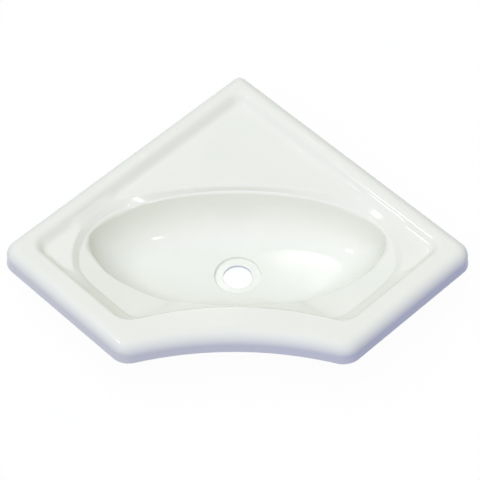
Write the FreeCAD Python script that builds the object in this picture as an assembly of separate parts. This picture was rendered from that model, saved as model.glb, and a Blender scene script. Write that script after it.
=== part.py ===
import FreeCAD, Part
import math
import os

from FreeCAD import Vector

# Corner basin: one vacuum-formed sheet shell with a turned-down skirt, a rolled rim, a sunk flat deck
# behind the bowl and an open waste hole, stiffened from below by bonded plywood.
# Millimetres. The two wall faces meet in the Z axis, so the corner of the room is at X = 0, Y = 0,
# the user stands on the -Y side, and Z = 0 is the top of the rim.

# ---- plan of the rim, measured at the foot of the rolled edge ----
WALL_LENGTH = 430.0         # from the room corner along each wall to the end
END_LENGTH = 231.2          # each end, square to its wall
FRONT_SAG = 21.8            # how far the front edge curves in behind its two corners
APEX_RADIUS = 11.0          # plan corner in the room corner
SIDE_RADIUS = 25.7          # plan corner between a wall and an end
FRONT_RADIUS = 27.9         # plan corner between an end and the front

# ---- sheet, skirt and rolled rim ----
SHEET = 4.0                 # thickness of the formed sheet
SKIRT_DROP = 28.0           # top of the rim to the cut lower edge of the skirt
SKIRT_FLARE = 1.2           # mould draft: the lower edge stands this much outside the roll
ROLL_RADIUS = 17.0          # outer roll of the rim
APEX_TOP_RADIUS = 4.0       # the plan corners tighten towards the top of the roll
SIDE_TOP_RADIUS = 11.0
FRONT_TOP_RADIUS = 13.0

# ---- inner side of the rim: plan distance in from the outline, at the top and at deck level ----
WALL_RIM = 24.0
WALL_RIM_FOOT = 35.0
END_RIM = 33.0
END_RIM_FOOT = 41.0
FRONT_RIM = 49.0
FRONT_RIM_FOOT = 52.0
FRONT_INNER_RADIUS = 402.0  # plan radius of the front rim's inner side at deck level
RIM_INNER_ROLL = 8.0        # rim top turning down into the sunk deck
RIM_FOOT_FILLET = 6.0       # and out onto the deck
APEX_RIM_RADIUS = 20.0      # plan corners of that inner side, at the rim top
APEX_FOOT_RADIUS = 10.0     # and on the deck
SIDE_RIM_RADIUS = 20.0
SIDE_FOOT_RADIUS = 12.0
FRONT_RIM_RADIUS = 32.0
FRONT_FOOT_RADIUS = 26.0
DECK_DROP = 10.0            # rim top to deck

# ---- bowl ----
BOWL_CENTRE = 289.0         # room corner to the waste, along the symmetry line
BOWL_BACK = 193.0           # room corner to the back edge of the bowl
BOWL_BACK_RADIUS = 484.0    # long shallow arc along the back
BOWL_END_RADIUS = 97.0      # full round at each end
BOWL_END_OFFSET = 113.0     # centre of that round from the symmetry line
BOWL_END_LAND = 3.0         # deck left between the rim's foot and the bowl, at the ends
BOWL_FRONT_LAND = 1.2       # and along the front
BOWL_CORNER_RADIUS = 36.0   # plan corner of the bowl's edge where an end meets the front
BOWL_END_BLEND = 12.0       # softening where the round end meets the line of the rim
BOWL_EDGE_BEND = 5.0        # deck bending down into the bowl
STEP_WIDTH = 8.5            # sloping step just inside the bowl's edge
STEP_DROP = 7.0
STEP_LAND = 3.0             # least shelf between the step and the deep bowl
DEEP_LAND = 5.5             # least distance from the bowl's edge to the deep bowl
STEP_FILLET = 6.0
SHELF_SLOPE = 12.0          # degrees, shelf between the step and the deep bowl
DEEP_BACK_LENGTH = 195.0    # half length of the deep bowl, an ellipse in plan behind the waste
DEEP_BACK_WIDTH = 90.0
DEEP_FRONT_LENGTH = 184.5   # in front of the waste it draws in faster towards its ends
DEEP_FRONT_WIDTH = 92.0
DEEP_FRONT_POWER = 1.8      # below 2, an ellipse turns straighter between its ends
DEEP_END_EASE = 0.13        # sine of the turn over which one outline passes into the other
DEEP_EDGE_BEND = 14.0
DEEP_WALL_SLOPE = 70.0      # degrees from level
DEEP_FLOOR_FILLET = 85.0    # the wall sweeps out onto the floor, and tighter where the floor is short
FLOOR_SLOPE = 3.5           # degrees, floor falling to the waste
BOWL_DEPTH = 76.0           # rim top to the lip of the waste seat

# ---- waste seat ----
WASTE_HOLE_RADIUS = 19.0    # 38 mm hole for a small caravan waste
WASTE_SEAT_RADIUS = 30.0    # sunk seat for its flange
WASTE_SEAT_DROP = 4.5

# ---- plywood bonded underneath ----
BOND = 1.0                  # adhesive layer
BATTEN_WIDTH = 15.0         # battens behind the walls and the ends
FRONT_BATTEN_WIDTH = 26.0   # the front rim is wider
BATTEN_FOOT_CLEARANCE = 2.0  # battens stay this far above the skirt's cut edge
BATTEN_CORNER_GAP = 34.0    # battens stop this far short of the plan's corners
BOARD_THICKNESS = 9.0       # stiffening board under the tap deck
BOARD_RIM_CLEARANCE = 4.0   # board edge from the foot of the rim's inner side
BOARD_BOWL_CLEARANCE = 9.0  # board edge from the back of the bowl
BOARD_CORNER_RADIUS = 12.0

RING_POINTS = 120           # points on each closed curve of the bowl
BEND_STEPS = 5              # sections through each bend
LEG_SHARE = 0.45            # a bend takes up to this share of the straight on each side
# the same for the bowl's four bends, before and after each: the deep bowl's edge takes most of the shelf
# and the sweep onto the floor takes most of the wall
BOWL_LEG_SHARES = [(0.45, 0.45), (0.45, 0.25), (0.6, 0.13), (0.82, 0.9)]

ROOT2 = math.sqrt(2.0)
FAR = 1e4                   # a ray that meets nothing
NEAR_PARALLEL = 0.01        # cosine below which a ray misses a line

# right half of the plan: down the wall, which is also out of the end, and away from the wall, which is
# also along the end
ALONG = Vector(1.0 / ROOT2, -1.0 / ROOT2, 0.0)
INWARD = Vector(-1.0 / ROOT2, -1.0 / ROOT2, 0.0)


def outline_frame():
    """Corner points of the plan and the centre and radius of the front curve."""
    half = (WALL_LENGTH - END_LENGTH) / ROOT2
    reach = (WALL_LENGTH + END_LENGTH) / ROOT2
    radius = (half ** 2 + FRONT_SAG ** 2) / (2.0 * FRONT_SAG)
    centre_y = -reach + FRONT_SAG - radius
    return centre_y, radius


def front_corner(end, front_centre_y, front_radius, corner_r):
    """Centre of the right front corner's arc, which touches the end line from inside and the front arc
    from outside."""
    base = ALONG * (WALL_LENGTH - end - corner_r) - Vector(0, front_centre_y, 0)
    dot = base.dot(INWARD)
    rest = base.dot(base) - (front_radius + corner_r) ** 2
    centre = base - INWARD * (dot + math.sqrt(dot * dot - rest))
    return centre.x, centre.y + front_centre_y


def rim_ring(z, wall, end, front_centre_y, front_radius, apex_r, side_r, front_r):
    """Closed outline at height z. wall and end are distances in from the plan's sides; the front is an
    arc of its own centre and radius. Corner radii are given. Returns one wire of ten edges."""
    def at(a, b):
        point = ALONG * a + INWARD * b
        return point.x, point.y

    apex_c = (0.0, -(wall + apex_r) * ROOT2)
    side_c = at(WALL_LENGTH - end - side_r, wall + side_r)
    front_c = front_corner(end, front_centre_y, front_radius, front_r)
    turn = math.atan2(front_centre_y - front_c[1], -front_c[0])

    def arc(c, r, start, stop):
        mid = 0.5 * (start + stop)
        pts = [Vector(c[0] + r * math.cos(t), c[1] + r * math.sin(t), z) for t in (start, mid, stop)]
        return Part.Arc(*pts).toShape(), pts[0], pts[2]

    def mirrored(p):
        return Vector(-p.x, p.y, p.z)

    apex, apex_start, apex_end = arc(apex_c, apex_r, math.radians(135), math.radians(45))
    side, side_start, side_end = arc(side_c, side_r, math.radians(45), math.radians(-45))
    corner, corner_start, corner_end = arc(front_c, front_r, math.radians(-45), turn)
    front_mid = Vector(0, front_centre_y + front_radius, z)
    front = Part.Arc(corner_end, front_mid, mirrored(corner_end)).toShape()
    corner_mid = Vector(front_c[0] + front_r * math.cos(0.5 * (math.radians(-45) + turn)),
                        front_c[1] + front_r * math.sin(0.5 * (math.radians(-45) + turn)), z)
    side_mid = Vector(side_c[0] + side_r, side_c[1], z)
    edges = [
        apex,
        Part.LineSegment(apex_end, side_start).toShape(),
        side,
        Part.LineSegment(side_end, corner_start).toShape(),
        corner,
        front,
        Part.Arc(mirrored(corner_end), mirrored(corner_mid), mirrored(corner_start)).toShape(),
        Part.LineSegment(mirrored(corner_start), mirrored(side_end)).toShape(),
        Part.Arc(mirrored(side_end), mirrored(side_mid), mirrored(side_start)).toShape(),
        Part.LineSegment(mirrored(side_start), apex_start).toShape(),
    ]
    return Part.Wire(edges)


def outer_ring(z, inset, share):
    """Outline of the rolled edge, moved in by inset. share runs from 0 at the foot of the roll to 1 at
    its top, and tightens the plan corners."""
    centre_y, radius = outline_frame()

    def between(low, high):
        return low + (high - low) * share

    return rim_ring(z, inset, inset, centre_y, radius + inset,
                    between(APEX_RADIUS, APEX_TOP_RADIUS),
                    between(SIDE_RADIUS, SIDE_TOP_RADIUS),
                    between(FRONT_RADIUS, FRONT_TOP_RADIUS))


def bent(points, radii, offset, leg_shares):
    """Round the inner corners of a section line after moving the line aside by offset, to the right of
    its direction. leg_shares holds, for each bend, the most it takes of the straights before and after
    it. Returns BEND_STEPS points for each bend, between the two ends."""
    units = []
    for (x0, y0), (x1, y1) in zip(points, points[1:]):
        length = math.hypot(x1 - x0, y1 - y0)
        units.append(((x1 - x0) / length, (y1 - y0) / length))
    moved = []
    for i, (x, y) in enumerate(points):
        before = units[max(i - 1, 0)]
        after = units[min(i, len(units) - 1)]
        # the corner of two lines, each moved aside by offset
        k = offset / (1.0 + before[0] * after[0] + before[1] * after[1])
        moved.append((x + k * (before[1] + after[1]), y - k * (before[0] + after[0])))
    out = [moved[0]]
    for i in range(1, len(moved) - 1):
        ux, uy = units[i - 1]
        vx, vy = units[i]
        turn = math.atan2(ux * vy - uy * vx, ux * vx + uy * vy)
        radius = radii[i - 1] + math.copysign(offset, turn)
        before_leg = math.hypot(moved[i][0] - moved[i - 1][0], moved[i][1] - moved[i - 1][1])
        after_leg = math.hypot(moved[i + 1][0] - moved[i][0], moved[i + 1][1] - moved[i][1])
        before_share, after_share = leg_shares[i - 1]
        reach = min(radius * math.tan(abs(turn) / 2.0), before_share * before_leg, after_share * after_leg)
        radius = reach / math.tan(abs(turn) / 2.0)
        cx = moved[i][0] - ux * reach - math.copysign(radius, turn) * uy
        cy = moved[i][1] - uy * reach + math.copysign(radius, turn) * ux
        start = math.atan2(moved[i][1] - uy * reach - cy, moved[i][0] - ux * reach - cx)
        for k in range(BEND_STEPS):
            angle = start + turn * k / (BEND_STEPS - 1.0)
            out.append((cx + radius * math.cos(angle), cy + radius * math.sin(angle)))
    out.append(moved[-1])
    return out


def rim_section(offset):
    """Section of the rim's inner side against a wall, as (distance in, z), from rim top to deck."""
    run = WALL_RIM_FOOT - WALL_RIM
    points = [(WALL_RIM - run, 0.0), (WALL_RIM, 0.0), (WALL_RIM_FOOT, -DECK_DROP),
              (WALL_RIM_FOOT + run, -DECK_DROP)]
    return bent(points, [RIM_INNER_ROLL, RIM_FOOT_FILLET], offset, [(LEG_SHARE, LEG_SHARE)] * 2)[1:-1]


def moved_corner(rim, foot, offset):
    """Where the section's upper corner lies, as a distance in, once the section is moved by offset."""
    slope = math.atan2(DECK_DROP, foot - rim)
    return rim - offset * math.tan(slope / 2.0)


def other_insets(distance, offset):
    """The rim's inner side against a wall lies at this distance in. Returns how far down the slope that
    is, as a share, and the matching distances in at the ends and at the front."""
    share = (distance - moved_corner(WALL_RIM, WALL_RIM_FOOT, offset)) / (WALL_RIM_FOOT - WALL_RIM)
    end = moved_corner(END_RIM, END_RIM_FOOT, offset) + share * (END_RIM_FOOT - END_RIM)
    front = moved_corner(FRONT_RIM, FRONT_RIM_FOOT, offset) + share * (FRONT_RIM_FOOT - FRONT_RIM)
    return share, end, front


def inner_front_centre():
    """Y of the centre of the front rim's inner side."""
    outer_centre_y, outer_radius = outline_frame()
    return outer_centre_y + outer_radius + FRONT_RIM_FOOT - FRONT_INNER_RADIUS


def inner_rings(offset):
    """Rings down the inner side of the rim, on the top side (offset 0) or the underside of the sheet."""
    rings = []
    for distance, z in rim_section(offset):
        share, end, front = other_insets(distance, offset)
        rings.append(rim_ring(
            z, distance, end, inner_front_centre(), FRONT_INNER_RADIUS + front - FRONT_RIM_FOOT,
            APEX_RIM_RADIUS + share * (APEX_FOOT_RADIUS - APEX_RIM_RADIUS),
            SIDE_RIM_RADIUS + share * (SIDE_FOOT_RADIUS - SIDE_RIM_RADIUS),
            FRONT_RIM_RADIUS + share * (FRONT_FOOT_RADIUS - FRONT_RIM_RADIUS)))
    return rings


def soft_min(a, b, blend):
    """The lesser of two distances, with the change from one to the other rounded over blend."""
    close = max(blend - abs(a - b), 0.0) / blend
    return min(a, b) - 0.25 * blend * close * close


def ray_to_line(dx, dy, nx, ny, distance):
    """Distance from the waste's centre, along a ray, to a line."""
    facing = dx * nx + dy * ny
    return distance / facing if facing > NEAR_PARALLEL else FAR


def ray_to_circle(dx, dy, cx, cy, radius, side):
    """Distance along a ray from the waste's centre to a circle, at its far (1) or near (-1) side."""
    dot = dx * cx + dy * cy
    under = dot * dot - cx * cx - cy * cy + radius * radius
    return dot + side * math.sqrt(under) if under > 0.0 else FAR


def front_distance(dx, dy, end, front, corner_r):
    """Distance along a ray from the waste to an outline of the end line and the front curve, each moved
    in from the plan, with a rounded corner between them."""
    centre_y, radius = inner_front_centre(), FRONT_INNER_RADIUS + front - FRONT_RIM_FOOT
    x, y = front_corner(end, centre_y, radius, corner_r)
    to_front = (centre_y - y) / (radius + corner_r)
    on_end = math.atan2(y - corner_r / ROOT2 + BOWL_CENTRE, x + corner_r / ROOT2)
    on_front = math.atan2(y + corner_r * to_front + BOWL_CENTRE, x - x * corner_r / (radius + corner_r))
    turn = math.atan2(dy, abs(dx))
    if turn >= on_end:
        return ray_to_line(abs(dx), dy, ALONG.x, ALONG.y, WALL_LENGTH - end - BOWL_CENTRE / ROOT2)
    if turn > on_front:
        return ray_to_circle(abs(dx), dy, x, y + BOWL_CENTRE, corner_r, 1)
    return ray_to_circle(dx, dy, 0.0, centre_y + BOWL_CENTRE, radius, -1)


def edge_radius(angle, inset):
    """Plan radius of the bowl's edge about the waste, moved in by inset."""
    dx, dy = math.cos(angle), math.sin(angle)
    back_y = BOWL_CENTRE - BOWL_BACK - BOWL_BACK_RADIUS
    centres = BOWL_BACK_RADIUS - BOWL_END_RADIUS
    end_y = back_y + math.sqrt(centres ** 2 - BOWL_END_OFFSET ** 2)
    touch_x = (BOWL_BACK_RADIUS - inset) * BOWL_END_OFFSET / centres
    # the round end leads into a straight that runs parallel to the end of the basin
    round_r = BOWL_END_RADIUS - inset
    straight_x = BOWL_END_OFFSET + round_r / ROOT2
    straight_y = end_y - round_r / ROOT2
    if abs(dx) * straight_y > dy * straight_x:
        oval = ray_to_line(abs(dx), dy, ALONG.x, ALONG.y, (straight_x - straight_y) / ROOT2)
    else:
        oval = ray_to_circle(dx, dy, 0.0, back_y, BOWL_BACK_RADIUS - inset, 1)
        if dy <= 0.0 or abs(oval * dx) > touch_x:
            oval = ray_to_circle(abs(dx), dy, BOWL_END_OFFSET, end_y, round_r, 1)
    front = front_distance(dx, dy, END_RIM_FOOT + BOWL_END_LAND + inset,
                           FRONT_RIM_FOOT + BOWL_FRONT_LAND + inset, BOWL_CORNER_RADIUS - inset)
    return soft_min(oval, front, BOWL_END_BLEND)


def deck_radius(angle, offset):
    """Plan radius about the waste of the level deck's own edge."""
    dx, dy = math.cos(angle), math.sin(angle)
    wall = rim_section(offset)[-1][0]
    share, end, front = other_insets(wall, offset)
    corner_r = FRONT_RIM_RADIUS + share * (FRONT_FOOT_RADIUS - FRONT_RIM_RADIUS)
    return min(ray_to_line(abs(dx), dy, -INWARD.x, -INWARD.y, BOWL_CENTRE / ROOT2 - wall),
               front_distance(dx, dy, end, front, corner_r))


def oval_radius(along, across, half_length, half_width, power):
    """Distance from an oval's centre to its outline, in the direction of the unit (along, across)."""
    total = (abs(along) / half_length) ** power + (abs(across) / half_width) ** power
    return total ** (-1.0 / power)


def deep_radius(angle):
    """Plan radius of the deep bowl's upper edge about the waste."""
    along, across = math.cos(angle), math.sin(angle)
    back = oval_radius(along, across, DEEP_BACK_LENGTH, DEEP_BACK_WIDTH, 2.0)
    front = oval_radius(along, across, DEEP_FRONT_LENGTH, DEEP_FRONT_WIDTH, DEEP_FRONT_POWER)
    share = min(max(0.5 + 0.5 * across / DEEP_END_EASE, 0.0), 1.0)
    return front + (back - front) * share * share * (3.0 - 2.0 * share)


def bowl_section(angle, offset):
    """Section of the bowl in one direction from the waste, as (radius, z), from the deck to the seat."""
    edge = edge_radius(angle, 0.0)
    deep = min(deep_radius(angle), edge - DEEP_LAND)
    step = max(edge_radius(angle, STEP_WIDTH), deep + STEP_LAND)
    shelf_z = -DECK_DROP - STEP_DROP
    # room on the deck for the bend at the bowl's edge, which the offset moves outwards
    shift = offset * math.tan(0.5 * math.atan2(STEP_DROP, edge - step))
    land = shift + min(BOWL_EDGE_BEND, deck_radius(angle, offset) - edge - shift)
    deep_z = shelf_z - (step - deep) * math.tan(math.radians(SHELF_SLOPE))
    wall = math.tan(math.radians(DEEP_WALL_SLOPE))
    floor = math.tan(math.radians(FLOOR_SLOPE))
    # where the wall's line meets the floor's line
    foot = (deep * wall - deep_z - BOWL_DEPTH - WASTE_SEAT_RADIUS * floor) / (wall - floor)
    foot_z = -BOWL_DEPTH + (foot - WASTE_SEAT_RADIUS) * floor
    points = [(edge + land, -DECK_DROP), (edge, -DECK_DROP), (step, shelf_z), (deep, deep_z),
              (foot, foot_z), (WASTE_SEAT_RADIUS, -BOWL_DEPTH)]
    radii = [BOWL_EDGE_BEND, STEP_FILLET, DEEP_EDGE_BEND, DEEP_FLOOR_FILLET]
    section = bent(points, radii, -offset, BOWL_LEG_SHARES)
    # the underside's floor stops at the outside of the seat
    section[-1] = (WASTE_SEAT_RADIUS + offset, section[-1][1] + offset * floor)
    return section


def closed_curve(points):
    curve = Part.BSplineCurve()
    count = len(points)
    curve.interpolate(Points=points, PeriodicFlag=True, Parameters=[i / count for i in range(count + 1)])
    return Part.Wire([curve.toShape()])


def ring_angles():
    return [math.pi / 2 + 2 * math.pi * i / RING_POINTS for i in range(RING_POINTS)]


def bowl_rings(offset):
    """Closed curves of the bowl, from the deck to the waste seat's lip."""
    angles = ring_angles()
    sections = [bowl_section(angle, offset) for angle in angles]
    rings = []
    for k in range(1, len(sections[0])):
        points = [Vector(s[k][0] * math.cos(a), s[k][0] * math.sin(a) - BOWL_CENTRE, s[k][1])
                  for a, s in zip(angles, sections)]
        rings.append(closed_curve(points))
    return rings


def seat_ring(radius, z):
    return closed_curve([Vector(radius * math.cos(a), radius * math.sin(a) - BOWL_CENTRE, z)
                         for a in ring_angles()])


def skin(rings, ruled=False):
    return Part.makeLoft(rings, False, ruled).Faces


def bands(rings):
    """Smooth faces through each bend, and straight ones between bends and after the last."""
    faces = []
    for start in range(0, len(rings), BEND_STEPS):
        bend = rings[start:start + BEND_STEPS]
        if start:
            faces += skin([rings[start - 1], bend[0]], True)
        if len(bend) > 1:
            faces += skin(bend)
    return faces


def flat(outer, inner):
    return Part.makeFace([outer, inner], "Part::FaceMakerBullseye").Faces


def side_faces(offset):
    """All faces of one side of the sheet, from the skirt's cut edge to the waste hole, with the two
    wires that close it."""
    skirt_low = outer_ring(-SKIRT_DROP, offset - SKIRT_FLARE, 0.0)
    roll = []
    for k in range(BEND_STEPS):
        angle = math.radians(90.0 * k / (BEND_STEPS - 1))
        radius = ROLL_RADIUS - offset
        roll.append(outer_ring(-ROLL_RADIUS + radius * math.sin(angle),
                               ROLL_RADIUS - radius * math.cos(angle), k / (BEND_STEPS - 1.0)))
    rim = inner_rings(offset)
    bowl = bowl_rings(offset)
    seat_floor = seat_ring(WASTE_SEAT_RADIUS + offset, -BOWL_DEPTH - WASTE_SEAT_DROP - offset)
    hole = Part.Wire([Part.makeCircle(WASTE_HOLE_RADIUS,
                                      Vector(0, -BOWL_CENTRE, -BOWL_DEPTH - WASTE_SEAT_DROP - offset))])
    faces = skin([skirt_low, roll[0]], True) + skin(roll)
    faces += flat(roll[-1], rim[0])
    faces += bands(rim)
    faces += flat(rim[-1], bowl[0])
    faces += bands(bowl)
    faces += skin([bowl[-1], seat_floor], True)
    faces += flat(seat_floor, hole)
    return faces, skirt_low, hole


def make_shell():
    top, top_edge, top_hole = side_faces(0.0)
    under, under_edge, under_hole = side_faces(SHEET)
    faces = top + under
    faces += flat(top_edge, under_edge)
    faces += skin([top_hole, under_hole], True)
    body = Part.makeCompound(faces)
    body.sewShape()
    shell = body.Shells[0] if body.Shells else body
    return Part.Solid(shell)


def batten_section(width):
    """Section of a batten, as (distance in, z). Its outer face follows the skirt, its top lies under the
    flat of the rim, and the corner between them is planed off to clear the roll."""
    foot_z = -SKIRT_DROP + BATTEN_FOOT_CLEARANCE
    flare = SKIRT_FLARE * (foot_z + ROLL_RADIUS) / (ROLL_RADIUS - SKIRT_DROP)
    outer = SHEET + BOND
    return [(outer - flare, foot_z), (outer, -ROLL_RADIUS), (ROLL_RADIUS, -outer),
            (outer + width, -outer), (outer + width, foot_z)]


def bond_section(width):
    """Section of the adhesive wrapped over a batten's outer face, planed corner and top."""
    foot, shoulder, crown, inner, _ = batten_section(width)
    return [foot, shoulder, crown, inner, (inner[0], inner[1] + BOND), (crown[0], crown[1] + BOND),
            (shoulder[0] - BOND, shoulder[1]), (foot[0] - BOND, foot[1])]


def polygon_face(points):
    return Part.Face(Part.makePolygon(points + points[:1]))


def wall_strip(section):
    """Strip behind the right-hand wall side."""
    start = ALONG * BATTEN_CORNER_GAP
    points = [start + INWARD * distance + Vector(0, 0, z) for distance, z in section]
    return polygon_face(points).extrude(ALONG * (WALL_LENGTH - 2.0 * BATTEN_CORNER_GAP))


def end_strip(section):
    """Strip behind the right-hand end."""
    start = INWARD * BATTEN_CORNER_GAP
    points = [start + ALONG * (WALL_LENGTH - distance) + Vector(0, 0, z) for distance, z in section]
    return polygon_face(points).extrude(INWARD * (END_LENGTH - 2.0 * BATTEN_CORNER_GAP))


def front_strip(section):
    """Strip curved along the front."""
    centre_y, radius = outline_frame()
    corner_angle = math.asin((WALL_LENGTH - END_LENGTH) / ROOT2 / radius)
    half_angle = math.degrees(corner_angle - BATTEN_CORNER_GAP / radius)
    centre = Vector(0, centre_y, 0)
    points = [centre + Vector(0, radius + distance, z) for distance, z in section]
    face = polygon_face(points)
    face.rotate(centre, Vector(0, 0, 1), -half_angle)
    return face.revolve(centre, Vector(0, 0, 1), 2.0 * half_angle)


def left(shape):
    """The matching piece on the left-hand side."""
    return shape.mirror(Vector(0, 0, 0), Vector(1, 0, 0))


def board(top_z, thickness):
    """Slab under the deck: two sides follow the walls and the third the back of the bowl."""
    side = WALL_RIM_FOOT + BOARD_RIM_CLEARANCE
    centre_y = -BOWL_BACK - BOWL_BACK_RADIUS
    radius = BOWL_BACK_RADIUS + BOARD_BOWL_CLEARANCE
    # where the line behind the wall meets the arc
    apex_y = -side * ROOT2
    drop = apex_y - centre_y
    tip_x = 0.5 * (drop - math.sqrt(2.0 * radius ** 2 - drop ** 2))
    tip, apex = Vector(tip_x, apex_y - tip_x, top_z), Vector(0, apex_y, top_z)
    other_tip = Vector(-tip.x, tip.y, top_z)
    edge = Part.Wire([
        Part.LineSegment(apex, tip).toShape(),
        Part.Arc(tip, Vector(0, centre_y + radius, top_z), other_tip).toShape(),
        Part.LineSegment(other_tip, apex).toShape(),
    ])
    slab = Part.Face(edge).extrude(Vector(0, 0, -thickness))
    upright = [e for e in slab.Edges if abs(e.Vertexes[0].Z - e.Vertexes[1].Z) > 0.5 * thickness]
    return slab.makeFillet(BOARD_CORNER_RADIUS, upright)


def deck_board():
    return board(-DECK_DROP - SHEET - BOND, BOARD_THICKNESS)


def deck_board_adhesive():
    return board(-DECK_DROP - SHEET, BOND)


def batten_adhesive():
    wall = wall_strip(bond_section(BATTEN_WIDTH))
    end = end_strip(bond_section(BATTEN_WIDTH))
    front = front_strip(bond_section(FRONT_BATTEN_WIDTH))
    return Part.makeCompound([wall, left(wall), end, left(end), front])


def make_parts():
    """Every piece by name. All are drawn from the plan's corner, and then moved away from the room
    corner so that the skirt's flared lower edge, which stands outside the plan, meets the walls."""
    wall_batten = wall_strip(batten_section(BATTEN_WIDTH))
    end_batten = end_strip(batten_section(BATTEN_WIDTH))
    pieces = {
        "basin_shell": make_shell(),
        "deck_board": deck_board(),
        "left_wall_batten": left(wall_batten),
        "right_wall_batten": wall_batten,
        "left_end_batten": left(end_batten),
        "right_end_batten": end_batten,
        "front_batten": front_strip(batten_section(FRONT_BATTEN_WIDTH)),
        "deck_board_adhesive": deck_board_adhesive(),
        "batten_adhesive": batten_adhesive(),
    }
    for piece in pieces.values():
        piece.translate(Vector(0, -SKIRT_FLARE * ROOT2, 0))
    return pieces


if __name__ == "__main__":
    os.makedirs("parts", exist_ok=True)
    for name, shape in make_parts().items():
        shape.exportStep("parts/" + name + ".step")
        print(f"{name}: {len(shape.Solids)} solids, {shape.Volume / 1000.0:.2f} cm3, valid {shape.isValid()}")
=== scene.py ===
import math

import bmesh
import bpy
from mathutils import Matrix, Vector


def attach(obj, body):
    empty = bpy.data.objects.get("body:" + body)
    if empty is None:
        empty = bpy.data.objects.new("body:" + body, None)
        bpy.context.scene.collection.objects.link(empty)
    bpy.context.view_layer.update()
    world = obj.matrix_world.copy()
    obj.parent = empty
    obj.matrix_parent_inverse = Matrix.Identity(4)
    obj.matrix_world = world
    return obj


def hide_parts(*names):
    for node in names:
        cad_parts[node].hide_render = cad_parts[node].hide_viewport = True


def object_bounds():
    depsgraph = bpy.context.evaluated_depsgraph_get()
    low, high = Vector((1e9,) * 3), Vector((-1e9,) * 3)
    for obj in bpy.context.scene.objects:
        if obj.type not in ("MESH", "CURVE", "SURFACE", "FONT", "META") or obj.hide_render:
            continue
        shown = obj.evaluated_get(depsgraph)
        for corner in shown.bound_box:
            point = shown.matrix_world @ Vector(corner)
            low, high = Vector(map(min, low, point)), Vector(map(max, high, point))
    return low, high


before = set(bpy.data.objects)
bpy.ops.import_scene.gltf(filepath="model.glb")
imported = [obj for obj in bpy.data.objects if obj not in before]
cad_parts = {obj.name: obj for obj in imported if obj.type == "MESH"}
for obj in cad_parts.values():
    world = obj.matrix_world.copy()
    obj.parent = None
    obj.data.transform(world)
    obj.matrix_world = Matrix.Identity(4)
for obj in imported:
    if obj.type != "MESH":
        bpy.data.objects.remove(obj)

# A white vacuum-formed corner basin. The formed sheet is drawn here again, finely enough for its gloss,
# from the same sizes as the solid that it stands for. The plywood and the adhesive under it keep the
# solids' own meshes. Sizes are in millimetres and turned to metres as each mesh is made.

cad_low, cad_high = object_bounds()
MM = 0.001

# ---- plan of the rim, measured at the foot of the rolled edge ----
WALL_LENGTH = 430.0
END_LENGTH = 231.2
FRONT_SAG = 21.8
APEX_RADIUS, APEX_TOP_RADIUS = 11.0, 4.0
SIDE_RADIUS, SIDE_TOP_RADIUS = 25.7, 11.0
FRONT_RADIUS, FRONT_TOP_RADIUS = 27.9, 13.0

# ---- sheet, skirt and rolled rim ----
SHEET = 4.0
SKIRT_DROP = 28.0
SKIRT_FLARE = 1.2
ROLL_RADIUS = 17.0
EDGE_ROUND = 0.5            # the trimmed edges are scraped smooth
BORE_STEP = 1.4             # the waste hole's edges are drawn this far into its bore

# ---- inner side of the rim, as distances in from the plan ----
WALL_RIM, WALL_RIM_FOOT = 24.0, 35.0
END_RIM, END_RIM_FOOT = 33.0, 41.0
FRONT_RIM, FRONT_RIM_FOOT = 49.0, 52.0
FRONT_INNER_RADIUS = 402.0
RIM_INNER_ROLL, RIM_FOOT_FILLET = 14.0, 12.0
APEX_RIM_RADIUS, APEX_FOOT_RADIUS = 20.0, 10.0
SIDE_RIM_RADIUS, SIDE_FOOT_RADIUS = 20.0, 12.0
FRONT_RIM_RADIUS, FRONT_FOOT_RADIUS = 32.0, 26.0
DECK_DROP = 10.0

# ---- bowl ----
BOWL_CENTRE = 289.0
BOWL_BACK = 193.0
BOWL_BACK_RADIUS = 484.0
BOWL_END_RADIUS = 97.0
BOWL_END_OFFSET = 113.0
BOWL_END_LAND, BOWL_FRONT_LAND = 3.0, 1.2
BOWL_CORNER_RADIUS = 36.0
BOWL_END_BLEND = 12.0
BOWL_EDGE_BEND = 5.0
STEP_WIDTH, STEP_DROP, STEP_LAND, STEP_FILLET = 8.5, 7.0, 3.0, 6.0
DEEP_LAND = 5.5
SHELF_SLOPE = 12.0
DEEP_BACK_LENGTH, DEEP_BACK_WIDTH = 195.0, 90.0
DEEP_FRONT_LENGTH, DEEP_FRONT_WIDTH = 184.5, 92.0
DEEP_FRONT_POWER = 1.8
DEEP_END_EASE = 0.13
DEEP_EDGE_BEND = 14.0
DEEP_WALL_SLOPE = 70.0
DEEP_FLOOR_FILLET = 85.0
FLOOR_SLOPE = 3.5
BOWL_DEPTH = 76.0

# ---- waste seat ----
WASTE_HOLE_RADIUS = 19.0
WASTE_SEAT_RADIUS = 30.0
WASTE_SEAT_DROP = 4.5
SEAT_LIP_ROUND = 1.0
SEAT_FOOT_FILLET = 1.2
SEAT_LEAD = 3.0             # stretch of the bowl's floor that the seat's section starts from

# ---- fineness of the drawn sheet ----
CORNER_STEPS = 14           # columns round each plan corner
WALL_STEPS = 64             # along each wall
END_STEPS = 36              # along each end
FRONT_STEPS = 34            # from a front corner to the middle of the front
ROLL_STEPS = 14             # rows over the rolled edge
BEND_STEPS = 9              # rows over each bend of the rim and the bowl
SMALL_STEPS = 4             # rows over a scraped edge
LEG_SHARES = (0.06, 0.36, 0.68, 0.94)   # rows along each straight stretch
SEAT_LEG_SHARES = (0.1, 0.9)            # the same for the waste seat
SKIRT_SHARES = (0.1, 0.3, 0.6, 0.9)     # the same for the skirt

# ---- room for the bends, as shares of the straight before and after each ----
RIM_ROOM = (0.45, 0.45)
EDGE_ROOM, STEP_ROOM, SWEEP_ROOM = (0.9, 0.5), (0.45, 0.15), (0.75, 0.9)
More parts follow.
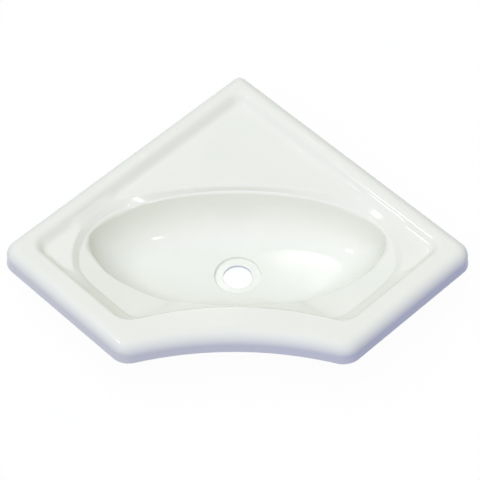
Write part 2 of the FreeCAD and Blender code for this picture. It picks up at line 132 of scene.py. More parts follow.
# the deep edge is crisp in front and soft behind; the last is how fast it passes between the two
DEEP_ROOM_BEFORE = 0.8
DEEP_ROOM_FRONT, DEEP_ROOM_BACK, DEEP_ROOM_TURN = 0.04, 0.22, 0.8
# on a land shorter than the first, the rim runs straight into the step; past the second they are apart
MERGE_NEAR, MERGE_FAR = 4.0, 9.0

ROOT2 = math.sqrt(2.0)
FAR = 1e4                   # stands for a ray that meets nothing
FACING_LEAST = 0.01         # a ray that faces a line less than this counts as meeting nothing


# ------------------------------------------------------------------ plan curves

def unit(angle):
    return math.cos(angle), math.sin(angle)


def share_between(a, b, share):
    return a + (b - a) * share


def outline_frame():
    """Y of the centre, and the radius, of the front curve."""
    half = (WALL_LENGTH - END_LENGTH) / ROOT2
    reach = (WALL_LENGTH + END_LENGTH) / ROOT2
    radius = (half ** 2 + FRONT_SAG ** 2) / (2.0 * FRONT_SAG)
    return -reach + FRONT_SAG - radius, radius


def front_corner(end, centre_y, radius, corner_r):
    """Centre of the right front corner's arc, between the end line and the front arc."""
    a = WALL_LENGTH - end - corner_r
    x, y = a / ROOT2, -a / ROOT2 - centre_y
    dot = -(x + y) / ROOT2
    rest = x * x + y * y - (radius + corner_r) ** 2
    b = -dot - math.sqrt(dot * dot - rest)
    return x - b / ROOT2, y - b / ROOT2 + centre_y


def arc_points(centre, radius, start, stop, count):
    """Points along an arc, without its last one."""
    out = []
    for i in range(count):
        c, s = unit(math.radians(start + (stop - start) * i / count))
        out.append((centre[0] + radius * c, centre[1] + radius * s))
    return out


def line_points(a, b, count):
    """Points along a line, without its last one."""
    return leg(a, b, [i / count for i in range(count)])


def leg(a, b, shares):
    return [(share_between(a[0], b[0], s), share_between(a[1], b[1], s)) for s in shares]


def rim_ring(wall, end, front_centre_y, front_radius, apex_r, side_r, front_r):
    """Closed rounded outline as (x, y) points, clockwise from the room corner. wall and end are
    distances in from the plan's sides."""
    apex = (0.0, -(wall + apex_r) * ROOT2)
    a, b = WALL_LENGTH - end - side_r, wall + side_r
    side = ((a - b) / ROOT2, -(a + b) / ROOT2)
    front = front_corner(end, front_centre_y, front_radius, front_r)
    turn = math.degrees(math.atan2(front_centre_y - front[1], -front[0]))
    cos45 = 1.0 / ROOT2
    half = arc_points(apex, apex_r, 90.0, 45.0, CORNER_STEPS)
    half += line_points((apex[0] + apex_r * cos45, apex[1] + apex_r * cos45),
                        (side[0] + side_r * cos45, side[1] + side_r * cos45), WALL_STEPS)
    half += arc_points(side, side_r, 45.0, -45.0, 2 * CORNER_STEPS)
    half += line_points((side[0] + side_r * cos45, side[1] - side_r * cos45),
                        (front[0] + front_r * cos45, front[1] - front_r * cos45), END_STEPS)
    half += arc_points(front, front_r, -45.0, turn, CORNER_STEPS)
    # the front arc, seen from its own centre, from the corner to the middle
    touch = math.degrees(math.atan2(front[1] - front_centre_y, front[0]))
    half += arc_points((0.0, front_centre_y), front_radius, touch, 90.0, FRONT_STEPS)
    middle = (0.0, front_centre_y + front_radius)
    return half + [middle] + [(-x, y) for x, y in reversed(half[1:])]


# ------------------------------------------------------------------ sections

def rounded(points, radii, offset, steps=BEND_STEPS, leg_shares=LEG_SHARES, rooms=None):
    """Section line moved aside by offset, to the right of its direction, with its inner corners
    rounded. rooms holds, for each inner corner, the shares of the straights before and after it that its
    bend may take. Every call with the same number of corners gives the same number of points."""
    rooms = rooms or [RIM_ROOM] * len(radii)
    units = []
    for (x0, y0), (x1, y1) in zip(points, points[1:]):
        length = math.hypot(x1 - x0, y1 - y0)
        units.append(((x1 - x0) / length, (y1 - y0) / length))
    moved = []
    for i, (x, y) in enumerate(points):
        before, after = units[max(i - 1, 0)], units[min(i, len(units) - 1)]
        k = offset / (1.0 + before[0] * after[0] + before[1] * after[1])
        moved.append((x + k * (before[1] + after[1]), y - k * (before[0] + after[0])))
    out = [moved[0]]
    for i in range(1, len(moved) - 1):
        (ux, uy), (vx, vy) = units[i - 1], units[i]
        turn = math.atan2(ux * vy - uy * vx, ux * vx + uy * vy)
        half_tan = math.tan(abs(turn) / 2.0)
        before, after = rooms[i - 1]
        reach = min((radii[i - 1] + math.copysign(offset, turn)) * half_tan,
                    before * math.dist(moved[i], moved[i - 1]),
                    after * math.dist(moved[i], moved[i + 1]))
        radius = reach / half_tan
        start_x, start_y = moved[i][0] - ux * reach, moved[i][1] - uy * reach
        cx = start_x - math.copysign(radius, turn) * uy
        cy = start_y + math.copysign(radius, turn) * ux
        first = math.atan2(start_y - cy, start_x - cx)
        out += leg(out[-1], (start_x, start_y), leg_shares)
        for k in range(steps):
            c, s = unit(first + turn * k / (steps - 1.0))
            out.append((cx + radius * c, cy + radius * s))
    out += leg(out[-1], moved[-1], leg_shares)
    out.append(moved[-1])
    return out


def rim_section(offset):
    """Section of the rim's inner side against a wall, as (distance in, z), from its top to the deck."""
    run = WALL_RIM_FOOT - WALL_RIM
    points = [(WALL_RIM - run, 0.0), (WALL_RIM, 0.0), (WALL_RIM_FOOT, -DECK_DROP),
              (WALL_RIM_FOOT + run, -DECK_DROP)]
    spare = 1 + len(LEG_SHARES)
    return rounded(points, [RIM_INNER_ROLL, RIM_FOOT_FILLET], offset)[spare:-spare]


def moved_corner(rim, foot, offset):
    """Distance in of the section's upper corner, once the section is moved by offset."""
    return rim - offset * math.tan(math.atan2(DECK_DROP, foot - rim) / 2.0)


def other_insets(distance, offset):
    """Share of the way down the rim's inner side, and its distances in at the ends and the front."""
    share = (distance - moved_corner(WALL_RIM, WALL_RIM_FOOT, offset)) / (WALL_RIM_FOOT - WALL_RIM)
    end = moved_corner(END_RIM, END_RIM_FOOT, offset) + share * (END_RIM_FOOT - END_RIM)
    front = moved_corner(FRONT_RIM, FRONT_RIM_FOOT, offset) + share * (FRONT_RIM_FOOT - FRONT_RIM)
    return share, end, front


def inner_front_centre():
    """Y of the centre of the curve that the rim's foot follows in front."""
    centre_y, radius = outline_frame()
    return centre_y + radius + FRONT_RIM_FOOT - FRONT_INNER_RADIUS


def inner_ring(distance, offset):
    """Outline of the rim's inner side at a distance in from the walls."""
    share, end, front = other_insets(distance, offset)
    return rim_ring(distance, end, inner_front_centre(), FRONT_INNER_RADIUS + front - FRONT_RIM_FOOT,
                    share_between(APEX_RIM_RADIUS, APEX_FOOT_RADIUS, share),
                    share_between(SIDE_RIM_RADIUS, SIDE_FOOT_RADIUS, share),
                    share_between(FRONT_RIM_RADIUS, FRONT_FOOT_RADIUS, share))


def outer_ring(inset, share):
    """Outline of the rolled edge moved in by inset. share is 0 at the roll's foot and 1 at its top."""
    centre_y, radius = outline_frame()
    return rim_ring(inset, inset, centre_y, radius + inset,
                    share_between(APEX_RADIUS, APEX_TOP_RADIUS, share),
                    share_between(SIDE_RADIUS, SIDE_TOP_RADIUS, share),
                    share_between(FRONT_RADIUS, FRONT_TOP_RADIUS, share))


# ------------------------------------------------------------------ bowl, by direction from the waste

def soft_min(a, b, blend):
    """The smaller of two, passing smoothly from one to the other where they lie within blend."""
    close = max(blend - abs(a - b), 0.0) / blend
    return min(a, b) - 0.25 * blend * close * close


def ray_to_line(dx, dy, nx, ny, distance):
    """Length of a ray from the waste to a line with the normal (nx, ny)."""
    facing = dx * nx + dy * ny
    return distance / facing if facing > FACING_LEAST else FAR


def ray_to_circle(dx, dy, cx, cy, radius, side):
    """Length of a ray from the waste to a circle, on its far side for 1 and its near side for -1."""
    dot = dx * cx + dy * cy
    under = dot * dot - cx * cx - cy * cy + radius * radius
    return dot + side * math.sqrt(under) if under > 0.0 else FAR


def front_distance(dx, dy, end, front, corner_r):
    """Distance along a ray from the waste to an outline of the end line and the front curve, each moved
    in from the plan, with a rounded corner between them."""
    centre_y, radius = inner_front_centre(), FRONT_INNER_RADIUS + front - FRONT_RIM_FOOT
    x, y = front_corner(end, centre_y, radius, corner_r)
    to_front = (centre_y - y) / (radius + corner_r)
    on_end = math.atan2(y - corner_r / ROOT2 + BOWL_CENTRE, x + corner_r / ROOT2)
    on_front = math.atan2(y + corner_r * to_front + BOWL_CENTRE, x - x * corner_r / (radius + corner_r))
    turn = math.atan2(dy, abs(dx))
    if turn >= on_end:
        return ray_to_line(abs(dx), dy, 1.0 / ROOT2, -1.0 / ROOT2,
                           WALL_LENGTH - end - BOWL_CENTRE / ROOT2)
    if turn > on_front:
        return ray_to_circle(abs(dx), dy, x, y + BOWL_CENTRE, corner_r, 1)
    return ray_to_circle(dx, dy, 0.0, centre_y + BOWL_CENTRE, radius, -1)


def edge_radius(angle, inset):
    """Plan radius of the bowl's edge about the waste, moved in by inset."""
    dx, dy = unit(angle)
    back_y = BOWL_CENTRE - BOWL_BACK - BOWL_BACK_RADIUS
    centres = BOWL_BACK_RADIUS - BOWL_END_RADIUS
    end_y = back_y + math.sqrt(centres ** 2 - BOWL_END_OFFSET ** 2)
    touch_x = (BOWL_BACK_RADIUS - inset) * BOWL_END_OFFSET / centres
    round_r = BOWL_END_RADIUS - inset
    straight_x = BOWL_END_OFFSET + round_r / ROOT2
    straight_y = end_y - round_r / ROOT2
    if abs(dx) * straight_y > dy * straight_x:
        oval = ray_to_line(abs(dx), dy, 1.0 / ROOT2, -1.0 / ROOT2, (straight_x - straight_y) / ROOT2)
    else:
        oval = ray_to_circle(dx, dy, 0.0, back_y, BOWL_BACK_RADIUS - inset, 1)
        if dy <= 0.0 or abs(oval * dx) > touch_x:
            oval = ray_to_circle(abs(dx), dy, BOWL_END_OFFSET, end_y, round_r, 1)
    front = front_distance(dx, dy, END_RIM_FOOT + BOWL_END_LAND + inset,
                           FRONT_RIM_FOOT + BOWL_FRONT_LAND + inset, BOWL_CORNER_RADIUS - inset)
    return soft_min(oval, front, BOWL_END_BLEND)


def oval_radius(along, across, half_length, half_width, power):
    """Distance from an oval's centre to its outline, in the direction of the unit (along, across)."""
    total = (abs(along) / half_length) ** power + (abs(across) / half_width) ** power
    return total ** (-1.0 / power)


def deep_radius(angle):
    """Plan radius of the deep bowl's upper edge about the waste."""
    along, across = unit(angle)
    back = oval_radius(along, across, DEEP_BACK_LENGTH, DEEP_BACK_WIDTH, 2.0)
    front = oval_radius(along, across, DEEP_FRONT_LENGTH, DEEP_FRONT_WIDTH, DEEP_FRONT_POWER)
    return front + (back - front) * ease(0.5 + 0.5 * across / DEEP_END_EASE)


def ease(share):
    """Smooth passage from 0 to 1."""
    share = min(max(share, 0.0), 1.0)
    return share * share * (3.0 - 2.0 * share)


def bowl_section(angle, offset, deck):
    """Section of the bowl in one direction from the waste, as (radius, z), from the deck, whose own edge
    is at radius deck, to the waste seat's lip."""
    edge = edge_radius(angle, 0.0)
    deep = min(deep_radius(angle), edge - DEEP_LAND)
    step = max(edge_radius(angle, STEP_WIDTH), deep + STEP_LAND)
    shelf_z = -DECK_DROP - STEP_DROP
    shift = offset * math.tan(0.5 * math.atan2(STEP_DROP, edge - step))
    land = shift + min(BOWL_EDGE_BEND, deck - edge - shift)
    deep_z = shelf_z - (step - deep) * math.tan(math.radians(SHELF_SLOPE))
    wall = math.tan(math.radians(DEEP_WALL_SLOPE))
    floor = math.tan(math.radians(FLOOR_SLOPE))
    foot = (deep * wall - deep_z - BOWL_DEPTH - WASTE_SEAT_RADIUS * floor) / (wall - floor)
    foot_z = -BOWL_DEPTH + (foot - WASTE_SEAT_RADIUS) * floor
    lip = WASTE_SEAT_RADIUS + offset + SEAT_LIP_ROUND
    points = [(edge + land, -DECK_DROP), (edge, -DECK_DROP), (step, shelf_z), (deep, deep_z),
              (foot, foot_z), (lip, -BOWL_DEPTH + (lip - WASTE_SEAT_RADIUS) * floor)]
    radii = [BOWL_EDGE_BEND, STEP_FILLET, DEEP_EDGE_BEND, DEEP_FLOOR_FILLET]
    behind = ease(0.5 + DEEP_ROOM_TURN * math.sin(angle))
    deep_room = share_between(DEEP_ROOM_FRONT, DEEP_ROOM_BACK, behind)
    rooms = [EDGE_ROOM, STEP_ROOM, (DEEP_ROOM_BEFORE, deep_room), SWEEP_ROOM]
    return rounded(points, radii, -offset, rooms=rooms)


def seat_section(offset):
    """From the seat's lip down to the hole's edge, as (radius, z)."""
    lip_z, seat_z = -BOWL_DEPTH - offset, -BOWL_DEPTH - WASTE_SEAT_DROP - offset
    seat = WASTE_SEAT_RADIUS + offset
    bore_z = seat_z + math.copysign(BORE_STEP, offset - 0.5 * SHEET)
    points = [(seat + SEAT_LEAD, lip_z), (seat, lip_z), (seat, seat_z), (WASTE_HOLE_RADIUS, seat_z),
              (WASTE_HOLE_RADIUS, bore_z)]
    radii = [SEAT_LIP_ROUND, SEAT_FOOT_FILLET, EDGE_ROUND]
    return rounded(points, radii, 0.0, SMALL_STEPS, SEAT_LEG_SHARES)[1 + len(SEAT_LEG_SHARES):]


# ------------------------------------------------------------------ the formed sheet

def sheet_side(offset):
    """Rows of points of one side of the sheet, from the skirt's edge to the waste hole."""
    rows = []
    side = math.copysign(EDGE_ROUND, 0.5 * SHEET - offset)
    for k in range(SMALL_STEPS):
        c, s = unit(math.radians(90.0 * k / SMALL_STEPS))
        ring = outer_ring(offset - SKIRT_FLARE + side * (1.0 - s), 0.0)
        rows.append([(x, y, -SKIRT_DROP + EDGE_ROUND * (1.0 - c)) for x, y in ring])
    drop = SKIRT_DROP - ROLL_RADIUS
    for share in (EDGE_ROUND / drop, *SKIRT_SHARES):
        inset = offset - SKIRT_FLARE * (1.0 - share)
        rows.append([(x, y, -SKIRT_DROP + drop * share) for x, y in outer_ring(inset, 0.0)])
    radius = ROLL_RADIUS - offset
    for k in range(ROLL_STEPS + 1):
        c, s = unit(math.radians(90.0 * k / ROLL_STEPS))
        ring = outer_ring(ROLL_RADIUS - radius * c, k / ROLL_STEPS)
        rows.append([(x, y, -ROLL_RADIUS + radius * s) for x, y in ring])
    top, rim = rows[-1], rim_section(offset)
    first = [(x, y, rim[0][1]) for x, y in inner_ring(rim[0][0], offset)]
    for share in LEG_SHARES:
        rows.append([tuple(share_between(p, q, share) for p, q in zip(a, b))
                     for a, b in zip(top, first)])
    for distance, z in rim:
        rows.append([(x, y, z) for x, y in inner_ring(distance, offset)])

    # inside the rim every row keeps the direction that its column has at the rim's foot
    foot, mid_slope = rows[-1], len(rows) - 1 - BEND_STEPS - len(LEG_SHARES) // 2
    angles = [math.atan2(y + BOWL_CENTRE, x) for x, y, _ in foot]
    decks = [math.hypot(x, y + BOWL_CENTRE) for x, y, _ in foot]
    sections = [bowl_section(a, offset, d) for a, d in zip(angles, decks)]
    deck_z = foot[0][2]
    for share in LEG_SHARES:
        rows.append([polar(a, share_between(d, s[0][0], share), deck_z)
                     for a, d, s in zip(angles, decks, sections)])
    mid_step = len(rows) + len(LEG_SHARES) + BEND_STEPS + 2
    for k in range(1, len(sections[0]) - 1):
        rows.append([polar(a, s[k][0], s[k][1]) for a, s in zip(angles, sections)])
    for radius, z in seat_section(offset):
        rows.append([polar(a, radius, z) for a in angles])
    for column, (angle, deck) in enumerate(zip(angles, decks)):
        merge_slopes(rows, column, mid_slope, mid_step, deck - edge_radius(angle, 0.0))
    return rows


def merge_slopes(rows, column, start, stop, land):
    """Where little land is left between the rim's foot and the step, the two slopes run into one."""
    share = ease((MERGE_FAR - land) / (MERGE_FAR - MERGE_NEAR))
    line = [rows[r][column] for r in range(start, stop + 1)]
    gone = [0.0]
    for a, b in zip(line, line[1:]):
        gone.append(gone[-1] + math.dist(a[:2], b[:2]))
    for r, (x, y, z), distance in zip(range(start, stop + 1), line, gone):
        straight = share_between(line[0][2], line[-1][2], distance / gone[-1])
        rows[r][column] = (x, y, share_between(z, straight, share))


def polar(angle, radius, z):
    """Point at a radius from the waste's axis."""
    c, s = unit(angle)
    return radius * c, radius * s - BOWL_CENTRE, z


def make_sheet():
    """Closed mesh of the sheet: the rows of its upper side, then those of its underside backwards."""
    top = sheet_side(0.0)
    under = sheet_side(SHEET)
    rows = top + under[::-1]
    count = len(rows[0])
    shift = SKIRT_FLARE * ROOT2
    vertices = [(x * MM, (y - shift) * MM, z * MM) for row in rows for x, y, z in row]
    faces = []
    for r in range(len(rows)):
        this, after = r * count, (r + 1) % len(rows) * count
        for i in range(count):
            j = (i + 1) % count
            faces.append((this + i, this + j, after + j, after + i))
    mesh = bpy.data.meshes.new("basin_sheet")
    mesh.from_pydata(vertices, [], faces)
    mesh.update()
    bm = bmesh.new()
    bm.from_mesh(mesh)
    bmesh.ops.recalc_face_normals(bm, faces=bm.faces)
    bm.to_mesh(mesh)
    bm.free()
    mesh.shade_smooth()
    piece = bpy.data.objects.new("formed_basin", mesh)
    bpy.context.scene.collection.objects.link(piece)
    return piece


# ------------------------------------------------------------------ materials

WHITE = (1.0, 1.0, 1.0, 1.0)
PLY_PAIR = 3.0              # one pale and one dark ply of the plywood
PLY_TURN = (0.46, 0.54)     # shares of a pair between which the pale ply passes into the dark one
PLY_WAVER = 0.35            # how far the plies wander up and down
GRAIN_STRETCH = 0.06        # the noise is drawn out along the grain by the inverse of this


def colour(hex_code):
    """sRGB hex to the linear RGBA that sockets take."""
    out = []
    for i in (0, 2, 4):
        v = int(hex_code[i:i + 2], 16) / 255.0
        out.append(v / 12.92 if v <= 0.04045 else ((v + 0.055) / 1.055) ** 2.4)
    return (*out, 1.0)


def add_node(tree, kind, inputs=None, **settings):
    """Adds a node with its settings. inputs maps each input to a value, or to the output socket that it
    is linked to."""
    node = tree.nodes.new(kind)
    for name, value in settings.items():
        setattr(node, name, value)
    for name, value in (inputs or {}).items():
        if isinstance(value, bpy.types.NodeSocket):
            tree.links.new(value, node.inputs[name])
        else:
            node.inputs[name].default_value = value
    return node


def new_material(name):
    material = bpy.data.materials.new(name)
    material.use_nodes = True
    material.node_tree.nodes.clear()
    return material, material.node_tree


def calculate(tree, operation, *values):
    """Result of a Math node on values or sockets."""
    return add_node(tree, "ShaderNodeMath", dict(enumerate(values)), operation=operation).outputs[0]


def scaled(tree, vector, factor):
    """A vector or colour times a factor."""
    return add_node(tree, "ShaderNodeVectorMath", {0: vector, "Scale": factor},
                    operation="SCALE").outputs[0]


def mix_shaders(tree, share, first, second):
    """The first shader where share is 0 and the second where it is 1."""
    return add_node(tree, "ShaderNodeMixShader", {0: share, 1: first.outputs[0], 2: second.outputs[0]})


def object_place(tree, turn=0.0, stretch=(1.0, 1.0, 1.0)):
    """The object's own coordinates in metres, turned about the vertical by so many degrees and then
    stretched."""
    place = add_node(tree, "ShaderNodeTexCoord").outputs["Object"]
    turned = add_node(tree, "ShaderNodeMapping",
                      {"Vector": place, "Rotation": (0.0, 0.0, math.radians(turn))}).outputs[0]
    return add_node(tree, "ShaderNodeMapping", {"Vector": turned, "Scale": stretch}).outputs[0]


def noise(tree, place, size_mm, detail=2.0, roughness=0.5):
    """Noise whose blotches are about size_mm across."""
    return add_node(tree, "ShaderNodeTexNoise",
                    {"Vector": place, "Scale": 1.0 / (size_mm * MM), "Detail": detail,
                     "Roughness": roughness}).outputs[0]


def blend(tree, share, first, second):
    """Colour between two hex colours."""
    ramp = add_node(tree, "ShaderNodeValToRGB", {"Fac": share})
    ramp.color_ramp.elements[0].color = colour(first)
    ramp.color_ramp.elements[1].color = colour(second)
    return ramp.outputs[0]


def stretch_range(tree, value, low, high, to_low, to_high):
    """value, from low to high, mapped to the range from to_low to to_high."""
    return add_node(tree, "ShaderNodeMapRange",
                    {"Value": value, "From Min": low, "From Max": high, "To Min": to_low,
                     "To Max": to_high}).outputs[0]


def bump(tree, height, height_mm, strength=1.0, **below):
    """Normal of a bump of so many millimetres. Normal is that of another bump below it."""
    return add_node(tree, "ShaderNodeBump",
                    {"Height": height, "Strength": strength, "Distance": height_mm * MM,
                     **below}).outputs[0]


def dress(material, tree, base, roughness, normal, ior):
    """Ends a material with its surface."""
    shader = add_node(tree, "ShaderNodeBsdfPrincipled",
                      {"Base Color": base, "Roughness": roughness, "Normal": normal, "IOR": ior})
    add_node(tree, "ShaderNodeOutputMaterial", {"Surface": shader.outputs[0]})
    return material


def formed_acrylic():
    """Acrylic-capped ABS, vacuum-formed. It gives the eye a warm white gloss whose reflections waver a
    little, from the way that the hot sheet settles on its mould, and a very faint mottle."""
    material, tree = new_material("vacuum_formed_acrylic_capped_abs")
    place = object_place(tree)
    tint = blend(tree, noise(tree, place, size_mm=60.0, detail=3.0), "EFF1E7", "F2F3EB")
    gloss = stretch_range(tree, noise(tree, place, size_mm=25.0, detail=3.0), 0.3, 0.7, 0.10, 0.15)
    settle = bump(tree, noise(tree, place, size_mm=55.0, detail=1.0), height_mm=0.22)
    peel = bump(tree, noise(tree, place, size_mm=5.0, detail=1.0), height_mm=0.006, Normal=settle)
    return dress(material, tree, tint, gloss, peel, ior=1.49)


def plywood(name, grain_turn):
    """Sanded marine plywood. It gives the eye streaky veneer on its faces and thin plies, in turn pale
    and dark, on its sawn edges. grain_turn turns the streaks to lie along the piece."""
    material, tree = new_material(name)
    along = object_place(tree, grain_turn, (GRAIN_STRETCH, 1.0, 1.0))
    streaks = blend(tree, noise(tree, along, size_mm=2.2, detail=4.0, roughness=0.6), "A67C4E", "D9B687")
    # the sawn edge: plies by height, roughened by its cut fibres
    flat = object_place(tree)
    height = add_node(tree, "ShaderNodeSeparateXYZ", {0: flat}).outputs["Z"]
    waver = stretch_range(tree, noise(tree, flat, size_mm=40.0), 0.0, 1.0, 0.0, PLY_WAVER * MM)
    ply = calculate(tree, "FLOORED_MODULO", calculate(tree, "ADD", height, waver), PLY_PAIR * MM)
    turn_low, turn_high = (share * PLY_PAIR * MM for share in PLY_TURN)
    plies = blend(tree, stretch_range(tree, ply, turn_low, turn_high, 0.0, 1.0), "8A6238", "D2AE7E")
    fibre = noise(tree, flat, size_mm=0.8, detail=3.0, roughness=0.7)
    sawn = scaled(tree, plies, stretch_range(tree, fibre, 0.3, 0.7, 0.82, 1.06))
    # the veneer shows on what faces up or down
    facing = add_node(tree, "ShaderNodeTexCoord").outputs["Normal"]
    rise = add_node(tree, "ShaderNodeSeparateXYZ", {0: facing}).outputs["Z"]
    face = stretch_range(tree, calculate(tree, "ABSOLUTE", rise), 0.85, 0.95, 0.0, 1.0)
    wood = add_node(tree, "ShaderNodeMix", data_type="RGBA")
    for index, socket in ((0, face), (6, sawn), (7, streaks)):
        tree.links.new(socket, wood.inputs[index])
    grain = bump(tree, streaks, height_mm=0.15, strength=0.5)
    return dress(material, tree, wood.outputs[2], 0.68, grain, ior=1.45)


def cured_adhesive():
    """Polyurethane adhesive. It gives the eye a pale straw, satin bead, slightly lumpy with small
    bubbles."""
    material, tree = new_material("cured_polyurethane_adhesive")
    place = object_place(tree)
    tint = blend(tree, noise(tree, place, size_mm=7.0, detail=4.0), "C9BC97", "E6DEC6")
    lumps = bump(tree, noise(tree, place, size_mm=2.5, detail=3.0, roughness=0.6), height_mm=0.25)
    sheen = stretch_range(tree, noise(tree, place, size_mm=4.0), 0.3, 0.7, 0.38, 0.52)
    return dress(material, tree, tint, sheen, lumps, ior=1.5)


def repaint(node, material):
    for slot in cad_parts[node].material_slots:
        slot.material = material


# ------------------------------------------------------------------ build

sheet = make_sheet()
sheet.data.materials.append(formed_acrylic())
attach(sheet, "root")
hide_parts("basin_shell")

# grain along each piece: across the room corner, down to the right, or down to the left
for name, grain_turn, nodes in (
        ("plywood_board", 0.0, ("deck_board", "front_batten")),
        ("plywood_right", 45.0, ("right_wall_batten", "left_end_batten")),
        ("plywood_left", -45.0, ("left_wall_batten", "right_end_batten"))):
    wood = plywood(name, grain_turn)
    for node in nodes:
        repaint(node, wood)
glue = cured_adhesive()
for node in ("deck_board_adhesive", "batten_adhesive"):
    repaint(node, glue)

# ------------------------------------------------------------------ camera

TARGET = Vector((0.0, -271.7 * MM, 0.0))
CAMERA_TILT = 51.41         # degrees above the horizon
CAMERA_YAW = -0.024         # radians round the vertical
CAMERA_ROLL = 0.016         # radians about the line of sight
CAMERA_DISTANCE = 3303.6 * MM
SENSOR_WIDTH = 36.0
FOCAL_PIXELS = 2585.4       # focal length in pixels of the 480-pixel frame
FRAME_PIXELS = 480.0
CENTRE_PIXEL = (237.33, 226.88)     # where the target lies in the frame


def make_camera():
    tilt = math.radians(CAMERA_TILT)
    right = Vector((math.cos(CAMERA_YAW), -math.sin(CAMERA_YAW), 0.0))
    away = Vector((math.sin(CAMERA_YAW), math.cos(CAMERA_YAW), 0.0))
    back = Vector((0.0, 0.0, math.sin(tilt))) - away * math.cos(tilt)
    up = back.cross(right)
    roll_right = right * math.cos(CAMERA_ROLL) - up * math.sin(CAMERA_ROLL)
    roll_up = right * math.sin(CAMERA_ROLL) + up * math.cos(CAMERA_ROLL)
    data = bpy.data.cameras.new("camera")
    data.sensor_width = SENSOR_WIDTH
    data.lens = data.sensor_width * FOCAL_PIXELS / FRAME_PIXELS
    data.shift_x = (FRAME_PIXELS / 2.0 - CENTRE_PIXEL[0]) / FRAME_PIXELS
    data.shift_y = (CENTRE_PIXEL[1] - FRAME_PIXELS / 2.0) / FRAME_PIXELS
    data.clip_start, data.clip_end = 0.1, 20.0
    camera = bpy.data.objects.new("camera", data)
    turn = Matrix((roll_right, roll_up, back)).transposed().to_4x4()
    camera.matrix_world = Matrix.Translation(TARGET + back * CAMERA_DISTANCE) @ turn
    bpy.context.scene.collection.objects.link(camera)
    bpy.context.scene.camera = camera


make_camera()

# ------------------------------------------------------------------ floor, world and lamps

FLOOR_Z = cad_low[2] - 1.0 * MM
FLOOR_SIZE = 8.0
FLOOR_WHITE = 0.95          # share of the floor's white that keeps no shadow
# the floor throws back cool light on every side; its darker blue on the right is painted shade on the
# basin's right end
BOUNCE_LEFT, BOUNCE_RIGHT_PAINTED_SHADE = "9094C8", "1040C8"      # what the floor throws back, at each side
BOUNCE_FROM, BOUNCE_TO = -0.30, 0.35                # and the x between which it passes over
LAMP_DISTANCE = 2.6
SOFTNESS = 12.0             # power of each sky light's falloff with the angle from its middle
# the studio's soft light, as patches of sky: azimuth from behind the basin towards its right, elevation,
# and strength in red, green and blue
SKY = [
    (0.0, 90.0, (1.66, 1.86, 2.22)),
    (-180.0, 65.0, (1.72, 1.66, 1.75)),
    (-135.0, 65.0, (0.36, 0.32, 0.40)),
    (-180.0, 40.0, (0.80, 0.80, 0.62)),
    (-135.0, 40.0, (1.19, 1.17, 1.36)),
    (-45.0, 40.0, (0.84, 0.94, 0.67)),
    (0.0, 40.0, (0.70, 0.62, 0.52)),
    (135.0, 40.0, (0.42, 0.42, 0.44)),
    (0.0, 12.0, (0.62, 0.60, 0.66)),
    (45.0, 12.0, (0.42, 0.42, 0.10)),
    (90.0, 12.0, (0.20, 0.18, 0.05)),
    (-90.0, 30.0, (0.34, 0.34, 0.38)),
]


def seen_ray(tree):
    """1 for rays from the eye, straight or by way of a gloss or a clear thing, and 0 for the rest."""
    path = add_node(tree, "ShaderNodeLightPath")
    share = path.outputs["Is Camera Ray"]
    for kind in ("Is Glossy Ray", "Is Transmission Ray"):
        share = calculate(tree, "MAXIMUM", share, path.outputs[kind])
    return share


def make_floor():
    """Pale floor: white to the eye, with a faint shadow, and cool to the light that it throws back on
    the basin. It goes darker and bluer to the right, as painted shade on the basin's right end. It is
    see-through from below, and to the lamp under it."""
    mesh = bpy.data.meshes.new("floor")
    half = FLOOR_SIZE / 2.0
    mesh.from_pydata([(-half, -half, FLOOR_Z), (half, -half, FLOOR_Z), (half, half, FLOOR_Z),
                      (-half, half, FLOOR_Z)], [], [(0, 1, 2, 3)])
    floor = bpy.data.objects.new("floor", mesh)
    bpy.context.scene.collection.objects.link(floor)
    material, tree = new_material("pale_floor")
    glow = add_node(tree, "ShaderNodeEmission", {"Color": WHITE, "Strength": 1.0})
    matt = add_node(tree, "ShaderNodeBsdfDiffuse", {"Color": WHITE})
    shadowed = mix_shaders(tree, FLOOR_WHITE, matt, glow)
    place = add_node(tree, "ShaderNodeTexCoord").outputs["Object"]
    across = add_node(tree, "ShaderNodeSeparateXYZ", {0: place}).outputs["X"]
    # darker and bluer towards the right: painted shade on the basin's right end
    bounce_with_painted_shade = blend(tree, stretch_range(tree, across, BOUNCE_FROM, BOUNCE_TO, 0.0, 1.0),
                   BOUNCE_LEFT, BOUNCE_RIGHT_PAINTED_SHADE)
    cool = add_node(tree, "ShaderNodeBsdfDiffuse", {"Color": bounce_with_painted_shade})
    top = mix_shaders(tree, seen_ray(tree), cool, shadowed)
    below = add_node(tree, "ShaderNodeNewGeometry").outputs["Backfacing"]
    to_lamp = add_node(tree, "ShaderNodeLightPath").outputs["Is Shadow Ray"]
    clear = add_node(tree, "ShaderNodeBsdfTransparent")
    both = mix_shaders(tree, calculate(tree, "MAXIMUM", below, to_lamp), top, clear)
    add_node(tree, "ShaderNodeOutputMaterial", {"Surface": both.outputs[0]})
    mesh.materials.append(material)


def direction(azimuth, elevation):
    flat, rise = math.radians(azimuth), math.radians(elevation)
    return Vector((math.cos(rise) * math.sin(flat), math.cos(rise) * math.cos(flat), math.sin(rise)))


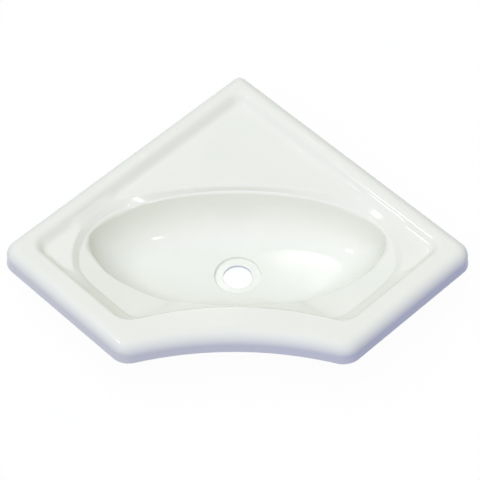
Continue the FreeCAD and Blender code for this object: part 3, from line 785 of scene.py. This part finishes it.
def make_world():
    """White to the eye. To the light it is a dark room with soft patches of light in its upper half."""
    world = bpy.data.worlds.new("studio")
    bpy.context.scene.world = world
    world.use_nodes = True
    tree = world.node_tree
    tree.nodes.clear()
    look = add_node(tree, "ShaderNodeTexCoord").outputs["Generated"]
    total = (0.0, 0.0, 0.0)
    for azimuth, elevation, strength in SKY:
        facing = add_node(tree, "ShaderNodeVectorMath", {0: look, 1: direction(azimuth, elevation)},
                          operation="DOT_PRODUCT").outputs["Value"]
        glow = calculate(tree, "POWER", calculate(tree, "MAXIMUM", facing, 0.0), SOFTNESS)
        patch = scaled(tree, strength, glow)
        total = add_node(tree, "ShaderNodeVectorMath", {0: total, 1: patch}, operation="ADD").outputs[0]
    height = add_node(tree, "ShaderNodeSeparateXYZ", {0: look}).outputs["Z"]
    above = scaled(tree, total, calculate(tree, "GREATER_THAN", height, 0.0))
    light = add_node(tree, "ShaderNodeBackground", {"Color": above, "Strength": 1.0})
    white = add_node(tree, "ShaderNodeBackground", {"Color": WHITE, "Strength": 1.0})
    both = mix_shaders(tree, seen_ray(tree), light, white)
    add_node(tree, "ShaderNodeOutputWorld", {"Surface": both.outputs[0]})


def lamp(name, azimuth, elevation, size, energy, glint=True):
    """Round lamp that looks at the basin. One for a glint shows only in its gloss."""
    away = direction(azimuth, elevation)
    data = bpy.data.lights.new(name, "AREA")
    data.shape = "DISK"
    data.size = size
    data.energy = energy
    piece = bpy.data.objects.new(name, data)
    piece.visible_diffuse = not glint
    piece.location = TARGET + away * LAMP_DISTANCE
    piece.rotation_mode = "QUATERNION"
    piece.rotation_quaternion = away.to_track_quat("Z", "Y")
    bpy.context.scene.collection.objects.link(piece)


make_floor()
make_world()
lamp("back_glint", -4.0, 53.0, size=0.10, energy=0.35)
lamp("left_glint", -100.0, 50.0, size=0.30, energy=4.0)
lamp("front_glint", 152.0, 47.0, size=0.12, energy=2.2)
lamp("under_fill", 0.0, -90.0, size=0.6, energy=24.0, glint=False)

bpy.context.scene.view_settings.view_transform = "Standard"
